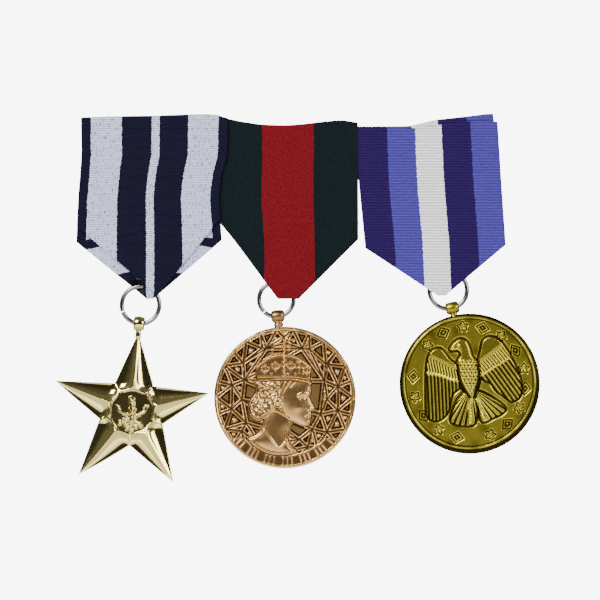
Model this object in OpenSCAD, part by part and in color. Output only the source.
// Set of three costume medals on ribbons, joined side by side along the top.
// It hangs as it is worn: +Z is up, the front faces -Y, and the origin is the middle
// of the backing strip's rear face, where the set meets the garment.

/* [Ribbons] */
// Width of the left ribbon
left_ribbon_w = 39.2; // [25:0.1:60]
// Width of the middle ribbon
middle_ribbon_w = 37.6; // [25:0.1:60]
// Width of the right ribbon
right_ribbon_w = 38; // [25:0.1:60]
// How far the left ribbon laps over the middle one
ribbon_lap = 2.4; // [1:0.1:5]
// Slit between the middle and the right ribbon
ribbon_slit = 0.1; // [0:0.05:1]
// Thickness of one layer of ribbon
layer_t = 0.45; // [0.3:0.05:0.7]
// Sideways lean of the left ribbon, positive when its point goes right
left_lean = -2.3; // [-5:0.1:5]
// Sideways lean of the middle ribbon
middle_lean = -1.7; // [-5:0.1:5]
// Sideways lean of the right ribbon
right_lean = 4.7; // [-5:0.1:5]
// Height of the left ribbon's top edge, at its left and right end
left_top = [9.4, 10]; // [6.5:0.1:14]
// Height of the middle ribbon's top edge, at its left and right end
middle_top = [9.6, 8.6]; // [6.5:0.1:14]
// Height of the right ribbon's top edge, at its left and right end
right_top = [7.4, 10.6]; // [6.5:0.1:14]
// Depth of the left ribbon's lower corners below the pins, left and right
left_corner = [23.9, 23.4]; // [15:0.1:35]
// Depth of the middle ribbon's lower corners below the pins, left and right
middle_corner = [18.5, 22.8]; // [15:0.1:35]
// Depth of the right ribbon's lower corners below the pins, left and right
right_corner = [25, 24.3]; // [15:0.1:35]
// Depth of the left ribbon's point below the pins
left_point = 38.9; // [37:0.1:60]
// Depth of the middle ribbon's point below the pins
middle_point = 39.2; // [37:0.1:60]
// Depth of the right ribbon's point below the pins
right_point = 38.3; // [37:0.1:60]
// Width of the blunt end of each point, left to right
point_flat = [1.2, 4.5, 1.2]; // [0.5:0.1:8]

/* [Backing strip] */
// Length of the strip
strip_l = 110; // [70:0.5:150]
// Height of the strip
strip_h = 12; // [11:0.1:13]
// Thickness of the strip
strip_t = 1.2; // [0.8:0.1:3]

/* [Rings] */
// Outside diameter of each ring, left to right
ring_od = [11.3, 10.5, 11.3]; // [8:0.1:16]
// Diameter of the ring wire
wire_d = 1.2; // [0.8:0.05:1.4]
// Cut between the ends of each ring
ring_cut = 0.2; // [0.1:0.05:0.6]
// Direction of each cut from the ring's centre, 0 to the right and 90 up
ring_cut_dir = [200, 226, 160]; // [150:1:260]
// Height of the hole that holds each ring above its ribbon's point
ring_rise = [3.1, 4.5, 6.5]; // [2.8:0.1:8]
// Place of each ring to the right of its ribbon's point
ring_side = [-2.1, -2, 2]; // [-3:0.1:3]
// Thickness of the folded ribbon tab that the ring goes through
tab_t = 1.6; // [1:0.1:2.5]

/* [Medals] */
// Tilt of each medal, positive when its lower edge goes left
medal_tilt = [4.6, -5, -12.9]; // [-20:0.1:20]
// Distance from the lug hole to the medal's centre, left to right
medal_drop = [23.8, 22, 20.9]; // [20.6:0.1:40]
// Radius of the star to its points
star_r = 21.1; // [16:0.1:22]
// Radius of the star to the corners between its arms
star_in_r = 8.8; // [6:0.1:9]
// Height of the star's middle above its back
star_h = 3; // [2:0.1:5]
// Thickness of the star at its edge
star_edge = 0.8; // [0.5:0.05:1.5]
// Radius of the raised field in the middle of the star
star_boss_r = 4.6; // [3:0.1:6]
// Diameter of the portrait medal
portrait_d = 37.8; // [30:0.1:38]
// Diameter of the eagle medal
eagle_d = 37.7; // [30:0.1:38]
// Thickness of the two round medals at the rim
disc_t = 2; // [1.5:0.1:4]
// Width of the rim of the round medals
rim_w = 1.1; // [0.6:0.1:2]
// Depth of the field below the rim
field_depth = 0.4; // [0.2:0.05:0.8]
// Height of the figures above the field
relief_h = 1; // [0.4:0.05:1.5]

/* [Lugs] */
// Outside diameter of each lug, left to right
lug_d = [3.9, 3.3, 3.3]; // [3.2:0.1:5]
// Width of each lug along its hole, left to right
lug_w = [2.9, 3.5, 3.5]; // [2:0.1:4]
// Width of the neck under each lug, left to right
neck_w = [1.5, 2.3, 1.9]; // [1:0.1:3]
// Radial room between ring wire and the holes that it goes through
wire_room = 0.35; // [0.3:0.05:0.5]

/* [Bar pins] */
// Length of the base bar
bar_l = 32; // [24:0.5:36]
// Height of the base bar
bar_w = 5; // [4.4:0.1:6]
// Thickness of the base's sheet metal
bar_t = 0.6; // [0.4:0.05:1]
// Height of the needle above the base bar
needle_rise = 3; // [2.8:0.05:5]
// Diameter of the needle
needle_d = 0.8; // [0.6:0.05:1]
// How far before the catch the needle starts to taper to its point
needle_lead = 0.8; // [0.5:0.1:4]
// Diameter of the needle's eye
eye_d = 2.4; // [2:0.1:3]
// Thickness of the needle's eye
eye_t = 1.4; // [1.2:0.1:2]
// Diameter of the hinge rivet
rivet_d = 0.8; // [0.6:0.05:1]
// Radial room between rivet and eye, and between catch and lock
pin_room = 0.05; // [0.02:0.01:0.1]
// Room on each side of the eye and of the lock
side_room = 0.1; // [0.05:0.01:0.3]
// Wall of the fixed catch tube and of the lock round it
catch_wall = 0.5; // [0.4:0.05:0.8]
// Width of the lock along the pin
lock_w = 2.2; // [1.6:0.1:3]
// Length of the lock's finger tab
lock_tab = 1.6; // [1:0.1:2.5]
// Diameter of the base bar's sewing holes
sew_hole_d = 1.3; // [1:0.1:1.6]

/* [Thread] */
// Thickness of the sewing thread
thread_t = 0.3; // [0.2:0.05:0.4]
// Length of one stitch
stitch_l = 2.6; // [1.5:0.1:4]
// Distance from one stitch to the next
stitch_pitch = 4.2; // [3:0.1:8]

/* [Hidden] */
$fn = 64;

LEFT = 0;
MIDDLE = 1;
RIGHT = 2;

// Ribbons: each has its left edge, width, top, corner, point and lean.
ribbon_w = [left_ribbon_w, middle_ribbon_w, right_ribbon_w];
ribbon_x = [
    -middle_ribbon_w / 2 + ribbon_lap - left_ribbon_w,
    -middle_ribbon_w / 2,
    middle_ribbon_w / 2 + ribbon_slit
];
ribbon_top = [left_top, middle_top, right_top];
corner_z = [-left_corner, -middle_corner, -right_corner];
point_z = [-left_point, -middle_point, -right_point];
lean = [left_lean, middle_lean, right_lean];
ribbon_t = 2 * layer_t;
ribbon_back = -strip_t;
ribbon_front = ribbon_back - ribbon_t;

// Rings: each hangs in a tab behind its ribbon, close above the point.
tab_gap = 0.25;
tab_wall = 0.5;
wire_r = wire_d / 2;
wire_hole_r = wire_r + wire_room;
ring_y = ribbon_back + tab_gap + wire_r;
ring_r = [for (i = [LEFT:RIGHT]) (ring_od[i] - wire_d) / 2];
hole_x = [for (i = [LEFT:RIGHT])
    ribbon_x[i] + ribbon_w[i] / 2 - point_z[i] * tan(lean[i]) + ring_side[i]];
hole_z = [for (i = [LEFT:RIGHT]) point_z[i] + ring_rise[i]];
ring_z = [for (i = [LEFT:RIGHT]) hole_z[i] - ring_r[i]];
// The wire bows across a hole, so the hole is centred half that bow off the wire.
function bow(i, w) = ring_r[i] - sqrt(ring_r[i] * ring_r[i] - w * w / 4);

// Medals: the lug hole lies on the ring, at the angle of the medal's tilt.
lug_place = [for (i = [LEFT:RIGHT]) ring_r[i] - bow(i, lug_w[i]) / 2];
lug_x = [for (i = [LEFT:RIGHT]) hole_x[i] - lug_place[i] * sin(medal_tilt[i])];
lug_z = [for (i = [LEFT:RIGHT]) ring_z[i] - lug_place[i] * cos(medal_tilt[i])];
disc_back = -disc_t / 2;
disc_front = disc_t / 2;
field_z = disc_front - field_depth;
star_back = -star_h / 2;

// Bar pins: one behind each outer ribbon, drawn lying on z = 0 with the hinge at -x.
pin_x = [for (i = [LEFT, RIGHT]) ribbon_x[i] + ribbon_w[i] / 2];
rivet_r = rivet_d / 2;
ear_t = bar_t;
hinge_z = bar_t + needle_rise;
hinge_x = -bar_l / 2 + eye_d / 2 + 0.3;
ear_in = eye_t / 2 + side_room;
ear_out = ear_in + ear_t;
tube_in = needle_d / 2 + 0.2;
tube_out = tube_in + catch_wall;
lock_in = tube_out + pin_room;
lock_out = lock_in + catch_wall;
cheek_t = 0.8;
catch_l = lock_w + 2 * side_room + 2 * cheek_t;
catch_x = bar_l / 2 - catch_l / 2 - 0.3;
mouth_w = needle_d + 0.3;
needle_end = 0.2;
needle_l = catch_x + catch_l / 2 + needle_end - hinge_x;
needle_taper = needle_lead + catch_l + needle_end;
// Three sewing holes share the bar between the hinge and the catch.
sew_start = hinge_x + eye_d / 2 + 1.5;
sew_end = catch_x - catch_l / 2 - 1.5;
sew_hole_x = [sew_start, (sew_start + sew_end) / 2, sew_end];
pad_h = 0.2;
pad_room = 0.5;
pad_x = (sew_hole_x[0] + sew_hole_x[1]) / 2;
pad_l = sew_hole_x[1] - sew_hole_x[0] - sew_hole_d - 2 * pad_room;
pad_w = bar_w - 1.6;
thread_reach = bar_w / 2 + thread_t;
seam_z = thread_reach + 1.2;

module face_on() {
    rotate([90, 0, 0]) children();
}

module ribbon_outline(i) {
    w = ribbon_w[i];
    middle = ribbon_x[i] + w / 2;
    // A point at distance x right of the middle line, leaning with the ribbon.
    function leaning(x, z) = [middle + x - z * tan(lean[i]), z];
    polygon([
        leaning(-w / 2, ribbon_top[i][0]),
        leaning(w / 2, ribbon_top[i][1]),
        leaning(w / 2, corner_z[i][1]),
        leaning(point_flat[i] / 2, point_z[i]),
        leaning(-point_flat[i] / 2, point_z[i]),
        leaning(-w / 2, corner_z[i][0])
    ]);
}

module ribbon_slab(i, front, back) {
    translate([0, back, 0])
        face_on()
            linear_extrude(back - front)
                ribbon_outline(i);
}

// The folded end behind the point: a tab across the ring with the hole for its wire.
module ring_tab(i) {
    reach = ring_y + wire_hole_r + tab_wall;
    hole_up = bow(i, tab_t) / 2;
    half = wire_hole_r + tab_wall;
    difference() {
        translate([hole_x[i] - tab_t / 2, ribbon_back - layer_t / 2, hole_z[i] - hole_up - half])
            cube([tab_t, reach - ribbon_back + layer_t / 2, 2 * half]);
        translate([hole_x[i] - tab_t, ring_y, hole_z[i] - hole_up])
            rotate([0, 90, 0])
                cylinder(r = wire_hole_r, h = 2 * tab_t);
    }
}

module left_ribbon() {
    color("midnightblue") {
        difference() {
            ribbon_slab(LEFT, ribbon_front, ribbon_back);
            ribbon_slab(MIDDLE, ribbon_front + layer_t, ribbon_back + 1);
        }
        ring_tab(LEFT);
    }
}

module middle_ribbon() {
    color("darkred") {
        difference() {
            ribbon_slab(MIDDLE, ribbon_front, ribbon_back);
            ribbon_slab(LEFT, ribbon_front - 1, ribbon_front + layer_t);
            ribbon_slab(RIGHT, ribbon_front - 1, ribbon_back + 1);
        }
        ring_tab(MIDDLE);
    }
}

module right_ribbon() {
    color("slateblue") {
        ribbon_slab(RIGHT, ribbon_front, ribbon_back);
        ring_tab(RIGHT);
    }
}

module backing_strip() {
    color("black")
        translate([-strip_l / 2, -strip_t, -strip_h / 2])
            cube([strip_l, strip_t, strip_h]);
}

// Two rows of running stitch along the strip's rear face, behind one ribbon.
module seam(i) {
    start = max(ribbon_x[i] + (i == MIDDLE ? ribbon_lap : 0), -strip_l / 2) + 1;
    end = min(ribbon_x[i] + ribbon_w[i], strip_l / 2) - 1;
    count = floor((end - start - stitch_l) / stitch_pitch) + 1;
    color("dimgray")
        for (row = [-1, 1], n = [0:count - 1])
            translate([start + n * stitch_pitch, 0, row * seam_z - thread_t / 2])
                cube([stitch_l, thread_t, thread_t]);
}

module left_seam() {
    seam(LEFT);
}

module middle_seam() {
    seam(MIDDLE);
}

module right_seam() {
    seam(RIGHT);
}

// A short ladder of stitches that closes the fold above the ring.
module point_stitches(i) {
    stitches = 3;
    for (n = [0:stitches - 1])
        translate([
            hole_x[i] - stitch_l / 2,
            ribbon_back,
            hole_z[i] + wire_hole_r + tab_wall + 0.4 + n * 2 * thread_t
        ])
            cube([stitch_l, thread_t, thread_t]);
}

module left_point_stitches() {
    color("midnightblue") point_stitches(LEFT);
}

module middle_point_stitches() {
    color("darkred") point_stitches(MIDDLE);
}

module right_point_stitches() {
    color("white") point_stitches(RIGHT);
}

// An open ring of round wire, with a cut between its ends.
module ring(i) {
    cut_angle = 2 * asin(ring_cut / 2 / ring_r[i]);
    color("silver")
        translate([hole_x[i], ring_y, ring_z[i]])
            face_on()
                rotate(ring_cut_dir[i] + cut_angle / 2)
                    rotate_extrude(angle = 360 - cut_angle)
                        translate([ring_r[i], 0])
                            circle(r = wire_r);
}

module left_ring() {
    ring(LEFT);
}

module middle_ring() {
    ring(MIDDLE);
}

module right_ring() {
    ring(RIGHT);
}

// A medal is drawn face on, with its lug hole at the origin and its centre below.
module hang_medal(i) {
    translate([lug_x[i], ring_y, lug_z[i]])
        rotate([0, medal_tilt[i], 0])
            face_on()
                children();
}

// The lug: a barrel along x with the ring's hole, on a neck that joins the medal.
module lug(i, neck_end) {
    r = lug_d[i] / 2;
    difference() {
        union() {
            translate([-lug_w[i] / 2, 0, 0])
                rotate([0, 90, 0])
                    cylinder(r = r, h = lug_w[i]);
            translate([-neck_w[i] / 2, -neck_end, -0.6])
                cube([neck_w[i], neck_end, 1.2]);
        }
        translate([-lug_w[i], 0, 0])
            rotate([0, 90, 0])
                cylinder(r = wire_hole_r, h = 2 * lug_w[i]);
    }
}

// A five-pointed star whose arms rise to a ridge that runs from the middle to each point.
module ridged_star() {
    rim = [for (k = [0:9])
        let (r = k % 2 == 0 ? star_r : star_in_r)
            [r * cos(90 + 36 * k), r * sin(90 + 36 * k)]];
    apex = [[0, 0, star_back + star_h]];
    upper = [for (p = rim) [p[0], p[1], star_back + star_edge]];
    lower = [for (p = rim) [p[0], p[1], star_back]];
    middle = [[0, 0, star_back]];
    polyhedron(
        points = concat(apex, upper, lower, middle),
        faces = concat(
            [for (k = [0:9]) [0, 1 + (k + 1) % 10, 1 + k]],
            [for (k = [0:9]) [1 + k, 1 + (k + 1) % 10, 11 + (k + 1) % 10, 11 + k]],
            [for (k = [0:9]) [11 + k, 11 + (k + 1) % 10, 21]]
        )
    );
}

module star_medal() {
    color("gold")
        hang_medal(LEFT) {
            translate([0, -medal_drop[LEFT], 0]) {
                ridged_star();
                // Raised field in the middle, level with the tops of the ridges
                translate([0, 0, star_back + star_edge])
                    cylinder(r1 = star_boss_r + 1, r2 = star_boss_r, h = star_h - star_edge);
            }
            lug(LEFT, medal_drop[LEFT] - star_r + 2.2);
        }
}

// A round medal with a raised rim round a sunk field.
module round_medal(d) {
    difference() {
        translate([0, 0, disc_back])
            cylinder(d = d, h = disc_t, $fn = 128);
        translate([0, 0, field_z])
            cylinder(d = d - 2 * rim_w, h = disc_t, $fn = 128);
    }
}

module portrait_figure() {
    head = [0, 3.5];
    hull() {
        translate(head) circle(r = 5.4, $fn = 32);
        translate([-1, 9.5]) square([11, 5], center = true);
    }
    translate(head + [-3, -2]) circle(r = 5, $fn = 32);
    hull() {
        translate([-2.2, -1]) circle(r = 3, $fn = 32);
        translate([-3.6, -9.5]) square([9, 2], center = true);
    }
    hull() {
        translate([-9.4, -10]) circle(r = 1, $fn = 32);
        translate([2.2, -14.4]) circle(r = 1, $fn = 32);
        translate([-1.2, -9.5]) circle(r = 1, $fn = 32);
    }
}

module portrait_medal() {
    color("sienna")
        hang_medal(MIDDLE) {
            translate([0, -medal_drop[MIDDLE], 0]) {
                round_medal(portrait_d);
                // The figure stands upright although the medal hangs a little askew.
                translate([0, 0, field_z - 0.2])
                    rotate(medal_tilt[MIDDLE])
                        linear_extrude(relief_h + 0.2)
                            portrait_figure();
            }
            lug(MIDDLE, medal_drop[MIDDLE] - portrait_d / 2 + 0.6);
        }
}

module eagle_wing() {
    polygon([[0.5, 3.5], [4.5, 9.6], [7.6, 10.2], [12.6, 6.4], [12.8, 1], [10.6, -5.4], [6.4, -7.4], [1.5, -3]]);
}

module eagle_figure() {
    translate([0, 1]) scale([0.55, 1]) circle(r = 6, $fn = 32);
    hull() {
        translate([0, 5]) circle(r = 2, $fn = 32);
        translate([-1.2, 9.2]) circle(r = 1.8, $fn = 32);
    }
    polygon([[-1.5, 10.8], [-4.6, 8.8], [-2, 7.6]]);
    eagle_wing();
    mirror([1, 0]) eagle_wing();
    polygon([[-1.6, -3], [1.6, -3], [5.6, -10], [0, -11.4], [-5.6, -10]]);
}

module eagle_medal() {
    color("darkgoldenrod")
        hang_medal(RIGHT) {
            translate([0, -medal_drop[RIGHT], 0]) {
                round_medal(eagle_d);
                translate([0, 0, field_z - 0.2])
                    linear_extrude(relief_h + 0.2)
                        eagle_figure();
            }
            lug(RIGHT, medal_drop[RIGHT] - eagle_d / 2 + 0.6);
        }
}

// A bar pin is drawn lying on its back: x along the needle, z away from the strip.
module place_pin(side) {
    translate([pin_x[side], 0, 0])
        rotate([-90, 0, 0])
            children();
}

module pin_base() {
    difference() {
        union() {
            translate([-bar_l / 2, -bar_w / 2, 0])
                cube([bar_l, bar_w, bar_t]);
            // Flat pressed pad that the cloth lies against, between two sewing holes
            translate([pad_x - pad_l / 2, -pad_w / 2, bar_t])
                cube([pad_l, pad_w, pad_h]);
            // Two ears at the hinge
            for (side = [-1, 1])
                hinge_ear(side);
            // Two cheeks that carry the catch tube
            for (side = [-1, 1])
                translate([catch_x + side * (catch_l - cheek_t) / 2, 0, 0])
                    catch_cheek();
            translate([catch_x - catch_l / 2, 0, hinge_z])
                rotate([0, 90, 0])
                    cylinder(r = tube_out, h = catch_l);
        }
        translate([catch_x - catch_l, 0, hinge_z])
            rotate([0, 90, 0])
                cylinder(r = tube_in, h = 2 * catch_l);
        // Mouth through which the needle drops into the tube
        translate([catch_x - catch_l, -mouth_w / 2, hinge_z])
            cube([2 * catch_l, mouth_w, 2 * lock_out]);
        for (x = sew_hole_x)
            translate([x, 0, -1])
                cylinder(d = sew_hole_d, h = bar_t + 2);
    }
}

module hinge_ear(side) {
    y = side > 0 ? ear_in : -ear_out;
    difference() {
        union() {
            translate([hinge_x, y + ear_t, hinge_z])
                rotate([90, 0, 0])
                    cylinder(d = eye_d, h = ear_t);
            translate([hinge_x - eye_d / 2, y, bar_t / 2])
                cube([eye_d, ear_t, hinge_z - bar_t / 2]);
        }
        translate([hinge_x, y + 2 * ear_t, hinge_z])
            rotate([90, 0, 0])
                cylinder(r = rivet_r, h = 3 * ear_t);
    }
}

module catch_cheek() {
    translate([-cheek_t / 2, -lock_out, bar_t / 2])
        cube([cheek_t, 2 * lock_out, hinge_z - bar_t / 2]);
    translate([-cheek_t / 2, 0, hinge_z])
        rotate([0, 90, 0])
            cylinder(r = lock_out, h = cheek_t);
}

module pin_rivet() {
    head_t = 0.35;
    head_r = rivet_r + 0.4;
    translate([hinge_x, 0, hinge_z])
        rotate([90, 0, 0])
            cylinder(r = rivet_r, h = 2 * ear_out, center = true);
    for (side = [-1, 1])
        translate([hinge_x, side * (ear_out + head_t / 2), hinge_z])
            rotate([90, 0, 0])
                cylinder(r = head_r, h = head_t, center = true);
}

module pin_needle() {
    difference() {
        union() {
            translate([hinge_x, 0, hinge_z])
                rotate([90, 0, 0])
                    cylinder(d = eye_d, h = eye_t, center = true);
            translate([hinge_x, 0, hinge_z])
                rotate([0, 90, 0])
                    cylinder(d = needle_d, h = needle_l - needle_taper);
            translate([hinge_x + needle_l - needle_taper, 0, hinge_z])
                rotate([0, 90, 0])
                    cylinder(d1 = needle_d, d2 = 0.1, h = needle_taper);
        }
        translate([hinge_x, 0, hinge_z])
            rotate([90, 0, 0])
                cylinder(r = rivet_r + pin_room, h = 2 * eye_t, center = true);
    }
}

// The lock turns on the catch tube. It is drawn open, with its mouth over the tube's mouth.
module pin_lock() {
    translate([catch_x, 0, hinge_z])
        difference() {
            union() {
                rotate([0, 90, 0])
                    cylinder(r = lock_out, h = lock_w, center = true);
                // Finger tab beside the mouth
                translate([-lock_w / 2, -lock_out - lock_tab, -catch_wall / 2])
                    cube([lock_w, lock_tab + catch_wall, catch_wall]);
            }
            rotate([0, 90, 0])
                cylinder(r = lock_in, h = 2 * lock_w, center = true);
            translate([-lock_w, -mouth_w / 2, 0])
                cube([2 * lock_w, mouth_w, 2 * lock_out]);
        }
}

// Thread that sews the base down: through each hole and over both edges of the bar.
module pin_threads() {
    for (x = sew_hole_x)
        translate([x - thread_t / 2, 0, 0]) {
            translate([0, -thread_reach, bar_t])
                cube([thread_t, 2 * thread_reach, thread_t]);
            for (y = [-thread_reach, -thread_t / 2, thread_reach - thread_t])
                translate([0, y, 0])
                    cube([thread_t, thread_t, bar_t + thread_t]);
        }
}

module left_pin_base() {
    color("lightgray") place_pin(0) pin_base();
}

module left_pin_rivet() {
    color("gray") place_pin(0) pin_rivet();
}

module left_pin_needle() {
    color("silver") place_pin(0) pin_needle();
}

module left_pin_lock() {
    color("silver") place_pin(0) pin_lock();
}

module left_pin_threads() {
    color("dimgray") place_pin(0) pin_threads();
}

module right_pin_base() {
    color("lightgray") place_pin(1) pin_base();
}

module right_pin_rivet() {
    color("gray") place_pin(1) pin_rivet();
}

module right_pin_needle() {
    color("silver") place_pin(1) pin_needle();
}

module right_pin_lock() {
    color("silver") place_pin(1) pin_lock();
}

module right_pin_threads() {
    color("dimgray") place_pin(1) pin_threads();
}

backing_strip();
left_ribbon();
middle_ribbon();
right_ribbon();
left_seam();
middle_seam();
right_seam();
left_point_stitches();
middle_point_stitches();
right_point_stitches();
left_ring();
middle_ring();
right_ring();
star_medal();
portrait_medal();
eagle_medal();
left_pin_base();
left_pin_rivet();
left_pin_needle();
left_pin_lock();
left_pin_threads();
right_pin_base();
right_pin_rivet();
right_pin_needle();
right_pin_lock();
right_pin_threads();
